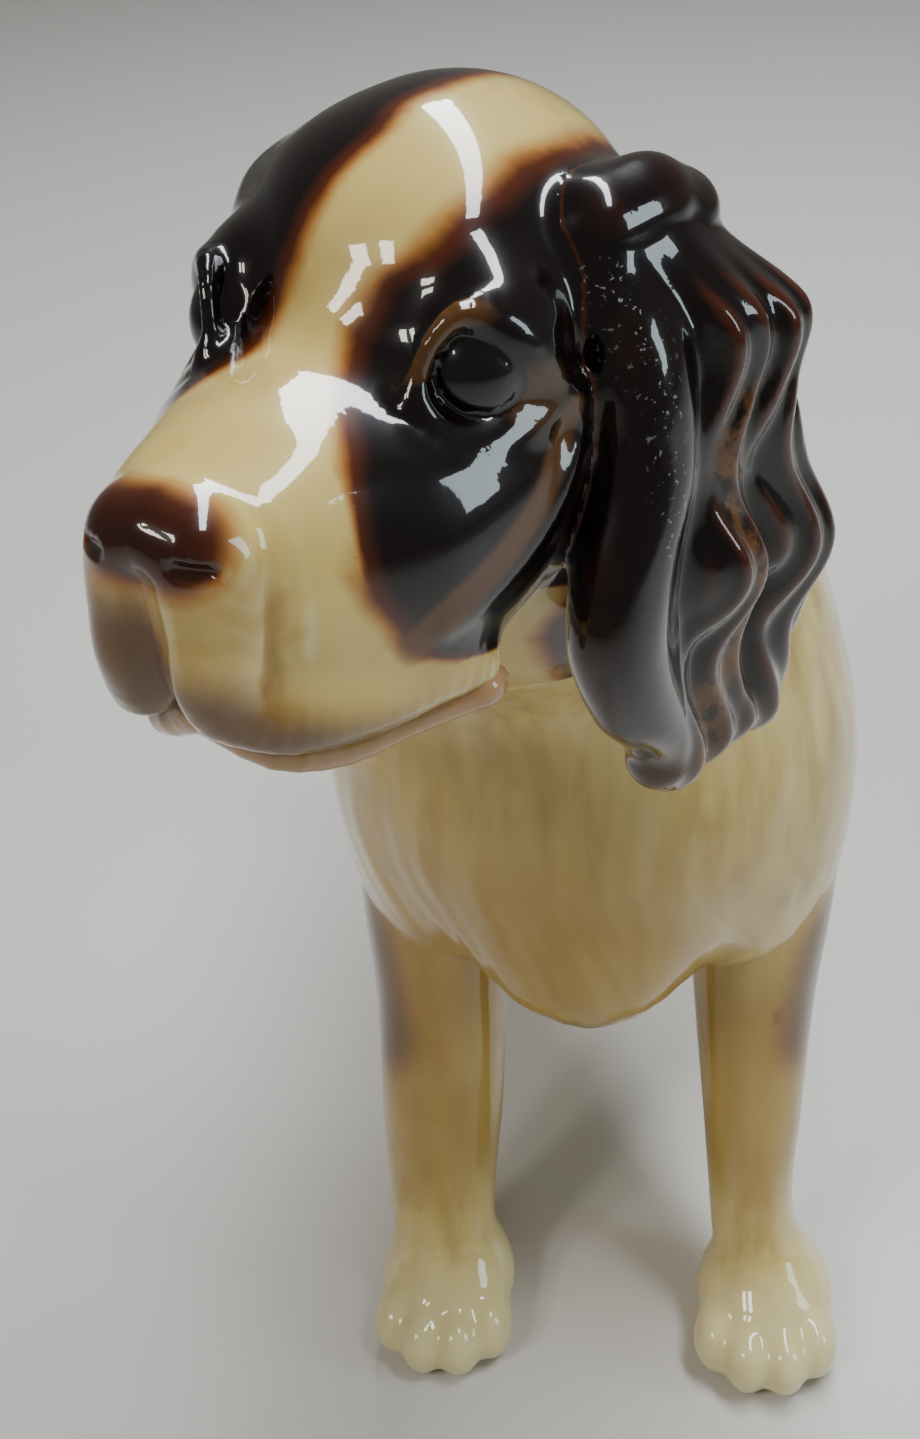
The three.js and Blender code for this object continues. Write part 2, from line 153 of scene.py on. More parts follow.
def loft(p, axis, stations):
    """A smooth bar along an axis. A station is (place along it, centre a, centre b, radius a, radius b)."""
    rows = np.array(sorted(stations), dtype=float)
    a, b = [k for k in range(3) if k != axis]
    shape = between(p[:, axis], rows[:, 0], rows[:, 1:])
    beyond = p[:, axis] - np.clip(p[:, axis], rows[0, 0], rows[-1, 0])
    q = np.stack([p[:, a] - shape[:, 0], p[:, b] - shape[:, 1], beyond], 1)
    return egg(q, np.stack([shape[:, 2], shape[:, 3], shape[:, 2:].min(1)], 1))


def blend(a, b, soft):
    """The union, with a fillet of about `soft` millimetres."""
    h = np.clip(0.5 + 0.5 * (b - a) / soft, 0, 1)
    return b + (a - b) * h - soft * h * (1 - h)


def carve(a, b, soft):
    """a with b taken out of it, its edge rounded."""
    return -blend(-a, b, soft)


def fold(q, axis=1):
    """Both halves brought onto the positive side, so that a form is written once."""
    m = q.copy()
    m[:, axis] = np.abs(m[:, axis])
    return m


def ramp(value, low, high):
    t = np.clip((value - low) / (high - low), 0, 1)
    return t * t * (3 - 2 * t)


# ------------------------------------------------------------------ the head

# Egg shapes as (centre, radii), one half of the face only; a strand's knots are (x, y, z, radius).
SKULL = ((-5, 0, 3.6), (15, 11.8, 12.1))
TEMPLE = ((-1, 4.5, 4.8), (9.0, 5.8, 7.6))
BROW = ((5.0, 8.6, 4.4), (4.6, 3.9, 3.9))
EAR_ROOT = [(-2.6, 10.0, 6.6, 3.4), (-8.6, 10.6, 5.8, 3.4)]
EYE_HOLLOW = ((12.4, 11.6, 2.6), (3.6, 3.4, 2.4))
EYE_CENTRE = (7.4, 8.3, 2.9)
EYE_RADIUS = 3.4
UPPER_LID = smooth([
    (11.9, 7.2, 2.6, 0.3), (11.2, 7.8, 5.0, 0.5), (9.9, 8.9, 6.6, 0.6), (8.1, 10.3, 5.9, 0.6),
    (6.0, 11.7, 3.5, 0.6), (3.8, 12.5, 1.1, 0.5),
])
LOWER_LID = smooth([
    (11.9, 7.6, 1.8, 0.3), (11.3, 8.9, 0.2, 0.4), (9.6, 10.3, -0.6, 0.5), (7.0, 11.5, -0.3, 0.5),
    (4.2, 12.4, 0.6, 0.4),
])
CHEEK_RIDGE = smooth([
    (3.2, 12.6, 0.6, 0.7), (3.8, 13.0, -2.2, 0.8), (6.2, 12.7, -5.4, 0.8),
    (10.2, 11.7, -7.8, 0.7), (14.2, 10.4, -9.6, 0.5),
])
NOSE = [(25.7, 0, -2.3, 2.1), (25.4, 1.8, -2.8, 2.3)]
CLEFT = [(28.0, 0, -4.8, 0.5), (26.6, 0, -13.4, 1.0)]
NOSTRIL = [(26.6, 4.0, -3.2, 0.3), (27.6, 2.6, -3.0, 0.45)]
# Stations along the muzzle: (forward, left, up, two radii).
BRIDGE = [(6.0, 0, -0.6, 7.0, 5.2), (12.0, 0, -1.3, 6.5, 4.7), (18.0, 0, -2.1, 6.0, 4.3),
          (23.6, 0, -3.2, 4.8, 3.5)]
MUZZLE = [(3.0, 7.4, -4.8, 6.2, 9.2), (9.0, 6.8, -6.2, 6.4, 8.9), (14.0, 5.7, -7.2, 6.0, 8.4),
          (18.6, 4.3, -7.8, 4.8, 7.9), (22.0, 3.2, -7.6, 4.0, 6.8), (24.2, 2.2, -7.4, 3.2, 5.6)]
SLIM_SIDE = 0.14         # how much slimmer the right side of the muzzle is than the left
FLEW = smooth([
    (25.0, 2.1, -10.6, 1.3), (24.2, 2.9, -12.8, 1.5), (22.2, 4.6, -13.9, 1.9), (19.4, 6.1, -14.3, 2.0),
    (16.0, 7.6, -14.3, 2.0), (12.8, 9.1, -14.2, 1.7), (10.2, 10.7, -14.6, 1.2),
])


def face_clay(m):
    """The face on one side, m being folded onto it."""
    d = ellipsoid(m, *SKULL)
    d = blend(d, ellipsoid(m, *TEMPLE), 3)
    d = blend(d, ellipsoid(m, *BROW), 2)
    d = blend(d, loft(m, 0, BRIDGE), 4)
    d = blend(d, loft(m, 0, MUZZLE), 3)
    d = blend(d, strand(m, FLEW), 3)
    d = blend(d, bar(m, *EAR_ROOT), 4)
    # the eye lies in a shallow hollow under the brow, between two lids
    d = carve(d, ellipsoid(m, *EYE_HOLLOW), 1.6)
    d = blend(d, strand(m, UPPER_LID), 1.8)
    d = blend(d, strand(m, LOWER_LID), 1.6)
    d = blend(d, ellipsoid(m, EYE_CENTRE, (EYE_RADIUS,) * 3), 0.25)
    return blend(d, strand(m, CHEEK_RIDGE), 1.3)


def head_clay(q):
    m = fold(q)
    m[:, 1] *= 1 + SLIM_SIDE * ramp(-q[:, 1], 0, 4) * ramp(q[:, 0], 1, 8) * ramp(24 - q[:, 0], 0, 6)
    d = face_clay(m)
    # the nose pad, the cleft of the upper lip under it, and the nostrils
    d = blend(d, bar(m, *NOSE), 0.9)
    d = carve(d, bar(m, *CLEFT), 1.5)
    return carve(d, bar(m, *NOSTRIL), 0.5)


# An ear hangs in three locks over a thin leaf: a station is (up, forward, left, two radii).
EAR_LEAF = [
    (8.6, -5, 11.6, 5.6, 2.8), (5, -5.5, 13.9, 6.8, 3.0), (-1, -6, 15.6, 7.5, 1.9),
    (-10, -6, 16.5, 9, 1.8), (-20, -6.5, 17.4, 8.5, 1.8), (-26, -8, 18, 5, 1.8),
]
EAR_LOCKS = [
    [(9.0, -2.2, 11.4, 3.4, 3.0), (3, -1.2, 14.4, 3.6, 3.1), (-4, -0.8, 15.8, 3.8, 3.1),
     (-10, 1.4, 16.0, 4.0, 3.1), (-15, 2.0, 16.2, 4.0, 3.0), (-21, -0.6, 16.8, 3.6, 2.8),
     (-26, -4.4, 17.4, 3.0, 2.6)],
    [(9.6, -5.4, 12.6, 3.8, 3.0), (4, -6.8, 16.8, 3.9, 3.2), (-1, -6.4, 17.8, 3.4, 2.4),
     (-7, -5.6, 17.6, 3.4, 2.6), (-12, -6.2, 18.6, 4.2, 3.5), (-18, -7.4, 18.2, 3.5, 2.4),
     (-25, -8.8, 18.4, 3.4, 2.7)],
    [(8.5, -8.6, 13.2, 3.2, 2.8), (3.5, -11.0, 18.2, 3.7, 2.9), (-1.5, -10.6, 19.2, 3.0, 2.0),
     (-7, -12.4, 19.4, 3.7, 2.4), (-13, -14.4, 20.6, 4.5, 3.2), (-19, -14.2, 20.0, 3.6, 2.2),
     (-25, -12.8, 19.8, 3.2, 2.4)],
]
EAR_SHIFT = {1: (0, 0, 0), -1: (-4.0, -2.0, -4.0)}       # the right ear is set lower and further back
EAR_GROOVES = 0.22       # their depth


def ear_clay(q, side):
    m = q.copy()
    m[:, 1] *= side
    m = m - np.array(EAR_SHIFT[side])
    d = loft(m, 2, EAR_LEAF)
    for lock in EAR_LOCKS:
        d = blend(d, loft(m, 2, lock), 1.2)
    forward = m[:, 0]
    up = m[:, 2]
    swing = forward + 1.1 * np.sin(0.45 * up + 0.6)
    return d + EAR_GROOVES * ramp(-forward, 1.5, 5) * ramp(8 - up, 0, 5) * np.sin(2.3 * swing)


JAW_CORE = [(21.4, 0, -13.4, 2.0), (18, 1.5, -14.2, 2.8), (10, 3.5, -13.4, 4.0), (2, 4, -12, 5)]
LIP_CORNER = ((9.8, 11.3, -15.6), (1.6, 1.2, 1.2))
JAW = smooth([
    (22.6, 0.5, -14.7, 1.2), (21.0, 3.7, -16.5, 1.4), (17.8, 6.0, -17.1, 1.5), (14.0, 8.2, -16.5, 1.4),
    (10.4, 10.8, -15.9, 1.2),
])


def jaw_clay(q):
    m = fold(q)
    d = strand(m, JAW_CORE, 2)
    d = blend(d, strand(m, JAW), 1.5)
    return blend(d, ellipsoid(m, *LIP_CORNER), 0.6)


# ------------------------------------------------------------------ the body


NECK = [(-7, -42.5, 108, 11.5), (-3.5, -31, 98, 14), (0, -16, 84, 17)]


def neck_clay(p):
    return strand(p, NECK, 6)


# Egg shapes as (centre, radii). The last two stand on either side.
CHEST = ((0, -17, 69), (22.5, 21.5, 24.5))
BARREL = ((0, 10, 71.5), (19.5, 38, 20))
RUMP = ((0, 38, 73), (17, 17.5, 18.5))
SHOULDER = ((13.5, -15, 58), (9.6, 14, 19))
THIGH = ((10.5, 37, 62), (8.2, 13.5, 17))
BREASTBONE = [(0, -29, 53, 8.5), (0, -16, 53, 8)]
BROAD_SIDE = 0.8         # how much further the right flank stands out than the left
FUR_DEPTH = 0.06


def trunk_clay(p):
    m = fold(p, 0)
    m[:, 0] -= BROAD_SIDE * ramp(-p[:, 0], 0, 12)
    d = ellipsoid(m, *CHEST)
    d = blend(d, ellipsoid(m, *BARREL), 8)
    d = blend(d, ellipsoid(m, *RUMP), 8)
    d = blend(d, ellipsoid(m, *SHOULDER), 5)
    d = blend(d, ellipsoid(m, *THIGH), 6)
    d = blend(d, bar(m, *BREASTBONE), 6)
    # soft locks of fur down the chest, fading out on the flanks
    across = p[:, 0] + 1.3 * np.sin(0.22 * p[:, 2])
    finer = np.sin(2.3 * across + 0.2 * p[:, 2]) * np.sin(0.5 * across + 0.13 * p[:, 2])
    fur = np.sin(1.1 * across) + 0.8 * finer
    return d + FUR_DEPTH * ramp(-p[:, 1], 12, 26) * ramp(96 - p[:, 2], 0, 12) * fur


PAD = ((0, 0.6, 4.6), (6.9, 7.6, 5.4))
# Each toe's place across the paw, its y and its half width.
TOES = [(-4.9, -4.6, 2.3), (-1.8, -6.8, 2.5), (1.8, -6.8, 2.5), (4.9, -4.6, 2.3)]
TOE_HEIGHT = 3.5         # of its middle, and also its upright radius
TOE_REACH = 3.4          # its radius along the paw


def paw(m, x, y):
    q = m - np.array([x, y, 0.0])
    d = ellipsoid(q, *PAD)
    for across, along_y, wide in TOES:
        toe = ellipsoid(q, (across, along_y, TOE_HEIGHT), (wide, TOE_REACH, TOE_HEIGHT))
        d = blend(d, toe, 1.3)
    return d


# Stations up a leg: (up, out, back, two radii). The dog's left foreleg is the slimmer one.
FORELEG = {
    1: [(58, 15.6, -18, 7.0, 8.5), (48, 15.2, -19.5, 6.6, 7.6), (40, 14.9, -20.8, 5.9, 6.6),
        (26, 14.9, -23.6, 4.9, 5.6), (14, 15.0, -26.2, 4.2, 5.0), (5, 16.2, -28, 4.8, 5.4)],
    -1: [(58, 15.6, -18, 7.2, 8.5), (48, 15.6, -19.5, 7.0, 7.8), (39, 15.7, -20.9, 6.5, 6.9),
         (25, 16.3, -23.8, 6.2, 6.2), (12, 16.9, -26.8, 5.4, 5.5), (5, 16.8, -28, 5.4, 5.6)],
}
HINDLEG = [
    (64, 12.0, 33, 8.6, 12.5), (54, 13.4, 31, 7.6, 10.4), (43, 14.0, 33, 6.2, 7.6),
    (34, 14.4, 39, 4.8, 5.6), (26, 14.7, 44.6, 4.1, 4.8), (15, 15, 44.2, 4.0, 4.4),
    (6, 15, 42.6, 4.3, 4.8),
]


def foreleg_clay(p, side):
    m = p.copy()
    m[:, 0] *= side
    return blend(loft(m, 2, FORELEG[side]), paw(m, 16.5, -30.4), 2.5)


def hindleg_clay(p, side):
    m = p.copy()
    m[:, 0] *= side
    return blend(loft(m, 2, HINDLEG), paw(m, 15, 40.4), 2.5)


TAIL = [(0, 49, 78.4, 4.6), (0, 57.7, 80.1, 4.3), (0, 64.5, 82, 3.6), (0, 70.6, 84.2, 2.5)]


def tail_clay(p):
    return strand(p, TAIL, 1)


# ------------------------------------------------------------------ from fields to meshes

BLOCK = 8        # grid cells along a block; blocks far from the surface are skipped


def sample(form, low, high, cell):
    """The field on a grid, worked out only in the blocks that the surface may cross."""
    start = np.floor(np.asarray(low) / cell) * cell
    blocks = (np.ceil((np.asarray(high) - start) / cell).astype(int) // BLOCK) + 1
    corners = np.stack(np.meshgrid(*[np.arange(n) for n in blocks], indexing="ij"), -1).reshape(-1, 3)
    middle = form(start + (corners * BLOCK + (BLOCK - 1) / 2) * cell)
    grid = np.empty(blocks * BLOCK)
    view = grid.reshape(blocks[0], BLOCK, blocks[1], BLOCK, blocks[2], BLOCK)
    view[:] = np.where(middle < 0, -1.0, 1.0).reshape(blocks)[:, None, :, None, :, None]
    close = corners[np.abs(middle) < BLOCK * cell * 1.2]
    offsets = np.stack(np.meshgrid(*[np.arange(BLOCK)] * 3, indexing="ij"), -1).reshape(-1, 3)
    for at in range(0, len(close), 400):
        batch = close[at:at + 400]
        points = start + (batch[:, None, :] * BLOCK + offsets[None]) * cell
        values = form(points.reshape(-1, 3)).reshape(len(batch), BLOCK, BLOCK, BLOCK)
        view[batch[:, 0], :, batch[:, 1], :, batch[:, 2], :] = values
    return grid, start


def quads_where_zero(grid, start, cell):
    """One vertex in each cell that the surface crosses, and a quad across each crossed grid edge."""
    cells = np.array(grid.shape) - 1
    total = int(cells.prod())
    places = np.zeros((total, 3))
    hits = np.zeros(total)
    quads = []
    for axis in range(3):
        lower = [slice(1, -1)] * 3
        upper = [slice(1, -1)] * 3
        lower[axis] = slice(0, -1)
        upper[axis] = slice(1, None)
        a = grid[tuple(lower)]
        b = grid[tuple(upper)]
        edge = np.argwhere((a < 0) != (b < 0))
        fa = a[tuple(edge.T)]
        fb = b[tuple(edge.T)]
        index = edge + 1
        index[:, axis] -= 1
        crossing = index.astype(float)
        crossing[:, axis] += fa / (fa - fb)
        ring = []
        for du, dv in ((0, 0), (-1, 0), (-1, -1), (0, -1)):
            cell_index = index.copy()
            cell_index[:, (axis + 1) % 3] += du
            cell_index[:, (axis + 2) % 3] += dv
            flat = np.ravel_multi_index(cell_index.T, cells)
            ring.append(flat)
            hits += np.bincount(flat, minlength=total)
            for k in range(3):
                places[:, k] += np.bincount(flat, crossing[:, k], minlength=total)
        quad = np.stack(ring, 1)
        turned = fa >= 0
        quad[turned] = quad[turned][:, ::-1]
        quads.append(quad)
    quads = np.concatenate(quads)
    used = np.unique(quads)
    number = np.full(total, -1)
    number[used] = np.arange(len(used))
    return start + places[used] / hits[used][:, None] * cell, number[quads]


def slope(form, points, step):
    """The field's gradient and its value."""
    value = form(points)
    gradient = np.stack([form(points + step * np.eye(3)[k]) - value for k in range(3)], 1) / step
    return gradient, value


def settle(form, points, cell):
    """Moves the vertices onto the surface itself."""
    for _ in range(2):
        gradient, value = slope(form, points, 0.05 * cell)
        steep = np.maximum((gradient * gradient).sum(1), 0.25)
        move = -(value / steep)[:, None] * gradient
        length = np.linalg.norm(move, axis=1, keepdims=True)
        points = points + move * np.minimum(1, 0.5 * cell / np.maximum(length, TINY))
    return points


def hollow_and_ridge(form, points, reach):
    """How strongly the surface bulges (positive) or dips (negative) at each vertex, per millimetre."""
    around = sum(form(points + s * reach * np.eye(3)[k]) for k in range(3) for s in (-1, 1))
    return (around - 6 * form(points)) / (reach * reach)


# ------------------------------------------------------------------ pieces


def make_piece(name, form, low, high, cell, masks, material):
    """Meshes one form and writes its paint masks on it."""
    size = cell * 1.0
    grid, start = sample(form, low, high, size)
    points, quads = quads_where_zero(grid, start, size)
    points = settle(form, points, size)
    gradient, _ = slope(form, points, 0.08)
    mesh = bpy.data.meshes.new(name)
    mesh.from_pydata(((points + ORIGIN) * MM).tolist(), [], quads.tolist())
    mesh.update()
    for label, values in masks(points, form).items():
        layer = mesh.attributes.new(label, "FLOAT", "POINT")
        layer.data.foreach_set("value", np.asarray(values, dtype=np.float32))
    mesh.shade_smooth()
    normals = gradient / np.maximum(np.linalg.norm(gradient, axis=1, keepdims=True), TINY)
    mesh.normals_split_custom_set_from_vertices(normals.tolist())
    mesh.materials.append(material)
    piece = bpy.data.objects.new(name, mesh)
    bpy.context.scene.collection.objects.link(piece)
    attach(piece, "root")
    return piece


SEAM = 0.8       # how far a casting runs on beneath its neighbour at a seam
SINK = 0.06      # how far it lies below the shared surface there
SEAM_SHIFT = 0.3         # how far past halfway an ear or the tail takes over
LEG_SUNK = 2.0   # how far a leg runs on inside the trunk


def over_seam(whole, side):
    """The part of a shared surface where side is negative."""
    return np.maximum(whole, side)


def under_seam(whole, side):
    """The part where side is positive, with a lip that runs on just beneath the other part."""
    return np.maximum(whole + SINK * ramp(-side, 0.0, 0.3), -side - SEAM)


# The neck joint is a plane square to the neck, 0.6 of the way up it.
NECK_ROOT = np.array([0.0, -12.1, 78.2])
NECK_AXIS = unit(HEAD_ORIGIN - NECK_ROOT)
NECK_SEAT = NECK_ROOT + 0.6 * (HEAD_ORIGIN - NECK_ROOT) - np.array([0.0, 0.0, 2.0])


def past_neck(p):
    return (p - NECK_SEAT) @ NECK_AXIS


def torso(p):
    return blend(trunk_clay(p), neck_clay(p), 8)


def bust(p):
    """The head on its neck, without ears and jaw."""
    return blend(head_clay(to_head(p)), neck_clay(p), 3)


def ear_side(p, side):
    """Negative where the ear is nearer than the head."""
    return ear_clay(to_head(p), side) - bust(p) - SEAM_SHIFT


def with_ears(p):
    q = to_head(p)
    return blend(blend(bust(p), ear_clay(q, 1), 1.6), ear_clay(q, -1), 1.6)


def head_form(p):
    d = with_ears(p)
    d = under_seam(d, ear_side(p, 1))
    d = under_seam(d, ear_side(p, -1))
    return np.maximum(d, -past_neck(p))


def ear_form(side):
    """The field of one ear, as a function of the points alone."""
    return lambda p: over_seam(with_ears(p), ear_side(p, side))


def trunk_form(p):
    d = blend(torso(p), head_clay(to_head(p)), 3)
    return under_seam(d, -past_neck(p))


def jaw_form(p):
    return jaw_clay(to_head(p))


def leg_form(clay, side):
    """The field of one leg, cut off at the ground and inside the trunk."""
    return lambda p: np.maximum(np.maximum(clay(p, side), -p[:, 2]), -torso(p) - LEG_SUNK)


def tail_form(p):
    return np.maximum(blend(tail_clay(p), torso(p), 2), tail_clay(p) - torso(p) - SEAM_SHIFT)


# ------------------------------------------------------------------ paint masks

# The blaze between the two dark patches of the face: (forward, left) along its edges.
BLAZE_LEFT = [(-14, 8.0), (-2.9, 8.2), (0.8, 7.5), (3.4, 7.1), (6.2, 6.4), (7.9, 5.2), (8.9, 3.6),
              (10.5, 2.6), (12.9, 3.4), (16.3, 5.5), (18.6, 7.4), (19.3, 9.0)]
BLAZE_RIGHT = [(-14, 2.4), (-2.1, 0.7), (0.6, -0.1), (2.9, 0.0), (5.0, -1.0), (7.0, -1.8), (9.1, -2.5),
               (11.3, -3.1), (12.7, -3.6), (16.0, -5.5), (19.0, -8.0)]
# How far forward a patch reaches down the muzzle's side: (up, forward).
PATCH_FRONT = [(-15, -4), (-13.4, 7), (-12.7, 12.1), (-11.5, 15.3), (-10, 17.1), (-6.9, 18.7), (-4.8, 19.3),
               (-2.6, 19.2), (-0.8, 18.6), (1.4, 16.3), (2.4, 30)]
# Where the glaze has run thin along the cheek: (forward, up, half width).
CHEEK_BAND = [(4.3, 0.5, 0.6), (5.4, -1.5, 0.7), (7.6, -4.0, 0.8), (10.8, -6.2, 0.9), (13.8, -8.2, 1.0),
              (16.4, -10.4, 1.1)]
# How high the lip's brown reaches on the left side and on the right: (forward, up).
LIP_EDGE = [(-20, -17.5), (10, -16.6), (16, -15.6), (20.5, -14.2), (23.5, -12.4), (26.4, -10.2), (30, -9.4)]
FAR_LIP_EDGE = [(-20, -17.5), (21.5, -15.4), (23.0, -12.0), (25.0, -6.6), (30, -5.2)]
LIP_BACK = 8             # the brown stops this far forward of the head's centre
NOSE_EDGE = 0.35         # how far the nose's brown runs past its pad
EYE_CORNER = (6.6, 11.8, 1.6)
PATCH_BACK = 15          # the patches end this far behind the head's centre
# Faint strokes on the muzzle: (forward, up, half width).
WHISKERS = [
    [(26.8, -3.4, 0.35), (25.2, -4.8, 0.4), (24.4, -3.4, 0.3)],
    [(26.6, -5.2, 0.35), (24.6, -6.8, 0.4), (23.2, -5.4, 0.3)],
    [(26.2, -7.2, 0.3), (24.0, -8.8, 0.35), (22.4, -7.6, 0.25)],
]


def along(x, table):
    """The second column of a table where its first is x."""
    rows = np.array(table, dtype=float)
    return np.interp(x, rows[:, 0], rows[:, 1])


def stroke(a, b, path):
    """A brush stroke through (a, b, half width) knots: 1 along its middle, 0 at twice its half width."""
    best = np.zeros(len(a))
    for (a0, b0, w0), (a1, b1, w1) in zip(path[:-1], path[1:]):
        t = np.clip(((a - a0) * (a1 - a0) + (b - b0) * (b1 - b0)) / ((a1 - a0) ** 2 + (b1 - b0) ** 2), 0, 1)
        away = np.hypot(a - a0 - t * (a1 - a0), b - b0 - t * (b1 - b0)) / (w0 + t * (w1 - w0))
        best = np.maximum(best, 1 - ramp(away, 0.4, 2.0))
    return best


def face_patches(q):
    """Millimetres inside the edge of the dark patches of the face, negative outside."""
    front = along(q[:, 2], PATCH_FRONT) - q[:, 0]
    left = np.minimum(q[:, 1] - along(q[:, 0], BLAZE_LEFT), front)
    right = np.minimum(along(q[:, 0], BLAZE_RIGHT) - q[:, 1], front)
    return np.minimum(np.maximum(left, right), q[:, 0] + PATCH_BACK)


RIDGE_REACH = 0.45


def bright_ridges(points, form):
    """The mask that every glaze uses."""
    return {"ridge": hollow_and_ridge(form, points, RIDGE_REACH)}


def head_masks(points, form):
    q = to_head(points)
    m = fold(q)
    forward, left, up = m.T
    ball = EYE_RADIUS - np.linalg.norm(m - np.array(EYE_CENTRE), axis=1)
    upper = 1 - ramp(strand(m, UPPER_LID), -0.1, 0.6)
    lower = 0.6 - 0.6 * ramp(strand(m, LOWER_LID), -0.1, 0.5)
    lids = np.maximum(upper, lower) * (0.4 + 0.6 * ramp(q[:, 1], -1, 1))
    corner = 1 - ramp(np.linalg.norm(m - np.array(EYE_CORNER), axis=1), 1.5, 3.4)
    band = stroke(forward, up, CHEEK_BAND) * ramp(left, 8, 10)
    near_side = ramp(q[:, 1], -0.6, 0.6)
    lip_edge = near_side * along(forward, LIP_EDGE) + (1 - near_side) * along(forward, FAR_LIP_EDGE)
    masks = bright_ridges(points, form)
    masks["patch"] = face_patches(q)
    masks["thin"] = np.maximum(band, np.maximum(lids, 0.7 * corner)) * (1 - ramp(ball, -0.2, -0.05))
    masks["eye"] = ball
    masks["nose"] = NOSE_EDGE - bar(m, *NOSE)
    masks["lip"] = np.minimum(lip_edge - up, forward - LIP_BACK)
    masks["whisker"] = sum(stroke(forward, up, path) for path in WHISKERS) * ramp(left, 2.5, 4)
    return masks


def ear_masks(side):
    """The masks of one ear: thin streaks, dusty specks with a painted dull reflection on the front lock,
    and a painted highlight on the lower end.
    """
    def masks(points, form):
        q = to_head(points)
        q[:, 1] *= side
        q = q - np.array(EAR_SHIFT[side])
        forward = q[:, 0]
        up = q[:, 2]
        values = bright_ridges(points, form)
        swing = forward + 6.5 + 1.4 * np.sin(0.32 * up)
        values["streak"] = (1 - ramp(np.abs(swing), 0.6, 2.4)) * ramp(8 - up, 6, 12)
        front_lock = 1 - ramp(np.abs(forward - 1.0), 0.4, 1.8)
        # Grey specks down the front lock: dusty marks together with a painted dull reflection.
        values["dust_and_sheen"] = front_lock * ramp(up, -18, -8) * ramp(9 - up, 0, 2)
        # Painted highlight: the ear's lower end is painted lighter tan, as a lit rim.
        values["edge"] = ramp(-22 - up, 0, 5)
        return values
    return masks


# Soft brown airbrush over the cream, down the outer side of each leg's top: (start, end, reach).
AIRBRUSH = [
    ((-23.5, -23, 47), (-23.5, -25, 37), 11),
    ((22.5, -22, 47), (22, -24, 38), 10),
    ((17.5, -28, 41.5), (17.5, -28, 40.5), 2.2),
]
# The middle of the chest is painted darker around here, as painted shade under the head.
CHEST_SHADE_MIDDLE = (-4, -38, 54)
# The coat's dark patches on the back and the left thigh: (centre, radii).
COAT_PATCHES = [((4, 12, 92), (20, 17, 15)), ((-6, 44, 90), (17, 13, 14)), ((22, 34, 70), (9, 12, 11))]


def body_masks(points, form):
    x, y, z = points.T
    wobble = 1.1 * np.sin(0.5 * x + 0.4 * y) + 0.9 * np.sin(0.7 * y - 0.5 * z)
    patch = np.full(len(x), -20.0)
    for centre, radii in COAT_PATCHES:
        patch = np.maximum(patch, -ellipsoid(points, centre, radii))
    brush = np.zeros(len(x))
    for start, end, reach in AIRBRUSH:
        away = bar(points, (*start, 0), (*end, 0))
        brush = np.maximum(brush, 1 - ramp(away, 0.2 * reach, reach))
    masks = bright_ridges(points, form)
    masks["patch"] = patch + wobble
    masks["brush"] = brush
    masks["paw"] = ramp(13 - z, 0, 6)
    # Painted shade on the legs, between the paws and the trunk.
    masks["shank"] = ramp(z, 12, 24) * ramp(52 - z, 0, 12)
    # Painted shade on the middle of the chest, under the head.
    masks["chest_painted_shade"] = 1 - ramp(np.linalg.norm(points - np.array(CHEST_SHADE_MIDDLE), axis=1), 8, 30)
    return masks


# ------------------------------------------------------------------ glaze

# Linear colours.
CREAM = (0.60, 0.45, 0.14)
PALE = (0.71, 0.63, 0.32)
SHADED = (0.32, 0.185, 0.028)
HALO = (0.30, 0.085, 0.008)
BROWN = (0.07, 0.013, 0.003)
CHOCOLATE = (0.003, 0.001, 0.001)
THIN = (0.13, 0.055, 0.014)
UMBER = (0.085, 0.036, 0.006)
TAN = (0.30, 0.13, 0.02)
LIP = (0.07, 0.024, 0.009)
JAW_TAN = (0.38, 0.22, 0.10)
BLACK = (0.003, 0.003, 0.004)
# Grey of the ear's specks: dusty marks together with a painted dull reflection.
DUST_AND_SHEEN = (0.30, 0.30, 0.31)
GLASS_IOR = 1.5


